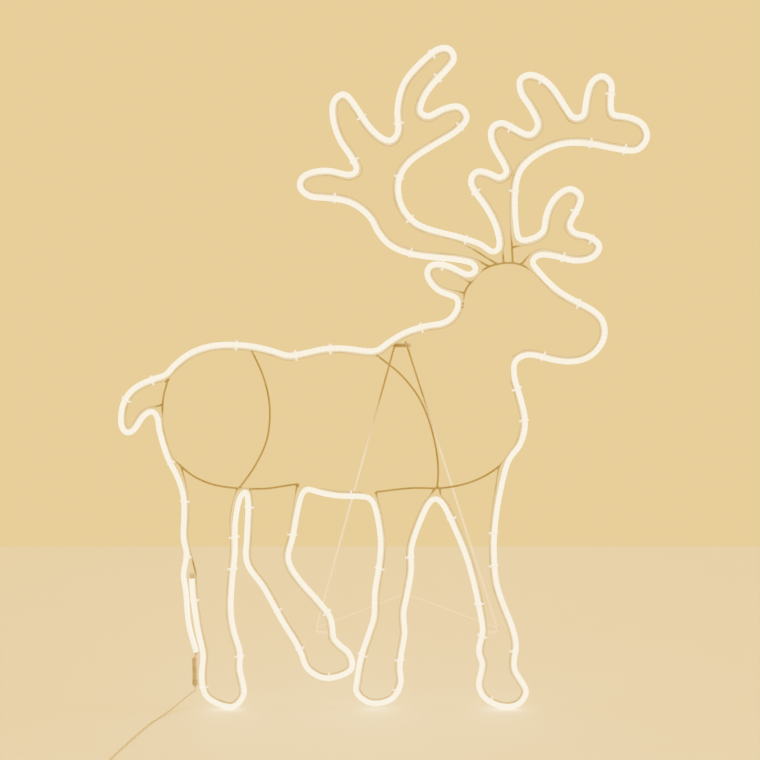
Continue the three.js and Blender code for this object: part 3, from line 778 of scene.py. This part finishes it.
def lead_route():
    """Down from the plug, along the ground, round the stored coil and into the adapter."""
    route = [(-343, 0, 44.2), (-343.5, 0, 38), (-350, 0, 32), (-364, -3, 22), (-380, -10, 10), (-394, -22, 3)]
    on_ground = ((-404, -38), (-417, -64), (-428, -96), (-445, -148), (-459, -200))
    route += [(x, y, CORD_REST) for x, y in on_ground]
    points = [at(*p) for p in route]
    cx, cy = COIL_CENTRE
    turns = COIL_TURNS_IN_LAYER * COIL_LAYERS + 0.75
    points_in_turn = 36
    points.append(at(cx + COIL_OUTER + 0.6, cy + 22, COIL_REST - 0.7))
    for k in range(round(turns * points_in_turn) + 1):
        turn = k / points_in_turn
        layer = min(int(turn / COIL_TURNS_IN_LAYER), COIL_LAYERS - 1)
        part = min(turn / COIL_TURNS_IN_LAYER - layer, 1)
        inward = part if layer % 2 == 0 else 1 - part
        radius = COIL_OUTER - inward * (COIL_OUTER - COIL_INNER)
        # each layer climbs onto the next in its last half turn, and the cord's end climbs out over all
        climb = (part - 1) * COIL_TURNS_IN_LAYER * 2 + 1
        if layer == COIL_LAYERS - 1:
            climb = (turn - turns) * 2 + 1
        climb = max(0.0, min(1.0, climb))
        rise = layer + climb * climb * (3 - 2 * climb)
        angle = -2 * math.pi * turn
        place = (cx + radius * math.cos(angle), cy + radius * math.sin(angle))
        points.append(at(*place, COIL_REST + rise * COIL_PITCH))
    top = COIL_REST + COIL_LAYERS * COIL_PITCH
    points += [at(-500, -274.8, top), at(-508.5, -279.5, top), at(-517, -286.5, top - 1.5)]
    points += [at(-526, -296, 12.5), at(-533.5, -306, 8.6)]
    points += [at(-536, -316, 8), at(-536, -338, 8), at(-536, -360, 8)]
    return points


def make_lead():
    route = catmull(lead_route(), 3 * MM)
    length = sum((b - a).length for a, b in zip(route, route[1:]))
    lead = finish_piece("clear_lead", tube(route, CORD_RADIUS, 10, False), "clear_cord",
                        replaces=["lead_cord", "lead_coil", "adapter_cord"])
    return lead, route, length


def rounded_corners(steps):
    """(x sign, y sign, angle) round the four corners of a rounded rectangle."""
    for corner, (sx, sy) in enumerate(((1, 1), (-1, 1), (-1, -1), (1, -1))):
        for k in range(steps + 1):
            yield sx, sy, math.pi / 2 * (corner + k / steps)


def make_adapter_body():
    """Two half shells that meet in a fine groove, drafted towards the top and bottom."""
    low, high = (Vector(c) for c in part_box("power_adapter"))
    middle, size = (low + high) / 2, high - low
    bm = bmesh.new()
    sections = [(0.0, 2.2), (0.05, 0.6), (0.12, 0.1), (0.485, 0.0), (0.488, 0.35), (0.512, 0.35)]
    sections += [(0.515, 0.0), (0.88, 0.1), (0.95, 0.6), (1.0, 2.2)]
    corner = 6 * MM
    loops = []
    for level, inset in sections:
        loop = []
        for sx, sy, angle in rounded_corners(6):
            r = corner - inset * MM
            x = middle.x + sx * (size.x / 2 - corner) + math.cos(angle) * r
            y = middle.y + sy * (size.y / 2 - corner) + math.sin(angle) * r
            loop.append(bm.verts.new((x, y, low.z + level * size.z)))
        loops.append(loop)
    for a, b in zip(loops, loops[1:]):
        for k in range(len(a)):
            bm.faces.new((a[k], a[(k + 1) % len(a)], b[(k + 1) % len(a)], b[k]))
    bottom = bm.faces.new(loops[0][::-1])
    top = bm.faces.new(loops[-1])
    for face in (top, bottom):
        bmesh.ops.inset_region(bm, faces=[face], thickness=3 * MM)
        bmesh.ops.inset_region(bm, faces=[face], thickness=0.4 * MM, depth=-0.5 * MM)
    body = finish_piece("mains_adapter", bm, "adapter_plastic", replaces=["power_adapter"], smooth=False)
    soften(body, 0.25 * MM)
    return body


def make_prong(node):
    """A flat blade with a hole near its end and its tip's corners cut."""
    low, high = (Vector(c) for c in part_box(node))
    centre, half = (low + high) / 2, (high - low) / 2
    bm = bmesh.new()
    outline = [(-half.y, -0.55), (-half.y + 1.5 * MM, -1), (half.y, -1), (half.y, 1),
               (-half.y + 1.5 * MM, 1), (-half.y, 0.55)]
    hole = [(1.6 * MM * math.cos(t * math.pi / 6), 1.6 * MM * math.sin(t * math.pi / 6))
            for t in range(12)]
    sides = []
    for x in (-half.x, half.x):
        rim = [bm.verts.new(centre + Vector((x, y, z * half.z))) for y, z in outline]
        ring = [bm.verts.new(centre + Vector((x, y - 3.5 * MM, z))) for y, z in hole]
        edges = [bm.edges.new((r[i], r[(i + 1) % len(r)])) for r in (rim, ring) for i in range(len(r))]
        bmesh.ops.triangle_fill(bm, use_beauty=True, edges=edges)
        sides.append((rim, ring))
    for near, far in zip(*sides):
        for k in range(len(near)):
            j = (k + 1) % len(near)
            bm.faces.new((near[k], near[j], far[j], far[k]))
    return finish_piece(node.replace("adapter", "mains"), bm, "metal", replaces=[node], smooth=False)


def make_strain_relief():
    sleeve = [[1.6, 0], [3.2, 0], [3.2, 1.2]]
    for step in range(5):
        z, r = 1.6 + 2.6 * step, 3.0 - 0.26 * step
        sleeve += [[r, z], [r, z + 1.4], [r - 0.5, z + 1.7], [r - 0.5, z + 2.3]]
    sleeve += [[1.9, 15], [1.6, 15]]
    relief = lathe(sleeve, at(-536, -316, 8), (0.12, 0.99, 0.03), 28)
    return finish_piece("adapter_strain_relief", relief, "adapter_plastic")


def make_twist_tie():
    """Round the coil's section, on the side where the box of the CAD's tie is."""
    low, high = (Vector(c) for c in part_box("coil_tie"))
    away = (low + high) / 2 - at(*COIL_CENTRE, 0)
    away = Vector((away.x, away.y, 0)).normalized()
    spare, corner = 2.2, 1.6
    half_height = (COIL_LAYERS - 1) * COIL_PITCH / 2
    width = (COIL_OUTER - COIL_INNER) / 2 + spare
    height = half_height + spare
    middle = at(*COIL_CENTRE, COIL_REST + half_height) + away * (COIL_OUTER + COIL_INNER) / 2 * MM
    path = []
    for sx, sz, angle in rounded_corners(5):
        out = sx * (width - corner) + math.cos(angle) * corner
        up = sz * (height - corner) + math.sin(angle) * corner
        path.append(middle + away * out * MM + Vector((0, 0, up * MM)))
    path.append(path[0].copy())
    return finish_piece("coil_twist_tie", tube(path, 0.6 * MM, 8, False), "clear_plastic",
                        replaces=["coil_tie"])


# ---------------------------------------------------------------- the scene
FLOOR_HALF_WIDTH = 4
FLOOR_FRONT, FLOOR_BACK = -5, PLANE_Y + 0.99


def make_floor():
    bm = bmesh.new()
    for x, y in ((-FLOOR_HALF_WIDTH, FLOOR_FRONT), (FLOOR_HALF_WIDTH, FLOOR_FRONT),
                 (FLOOR_HALF_WIDTH, FLOOR_BACK), (-FLOOR_HALF_WIDTH, FLOOR_BACK)):
        bm.verts.new((x, y, 0))
    bm.faces.new(bm.verts)
    mesh = bpy.data.meshes.new("floor")
    bm.to_mesh(mesh)
    bm.free()
    mesh.materials.append(floor_material())
    floor = bpy.data.objects.new("floor", mesh)
    bpy.context.scene.collection.objects.link(floor)


make_camera()
make_light()
make_floor()
lead, route, lead_length = make_lead()
on_the_lead = [make_adapter_body(), make_prong("adapter_prong_left"), make_prong("adapter_prong_right"),
               make_strain_relief(), make_twist_tie()]
make_rope()
make_frame_wires()
make_ties()
make_stand()
make_connector()
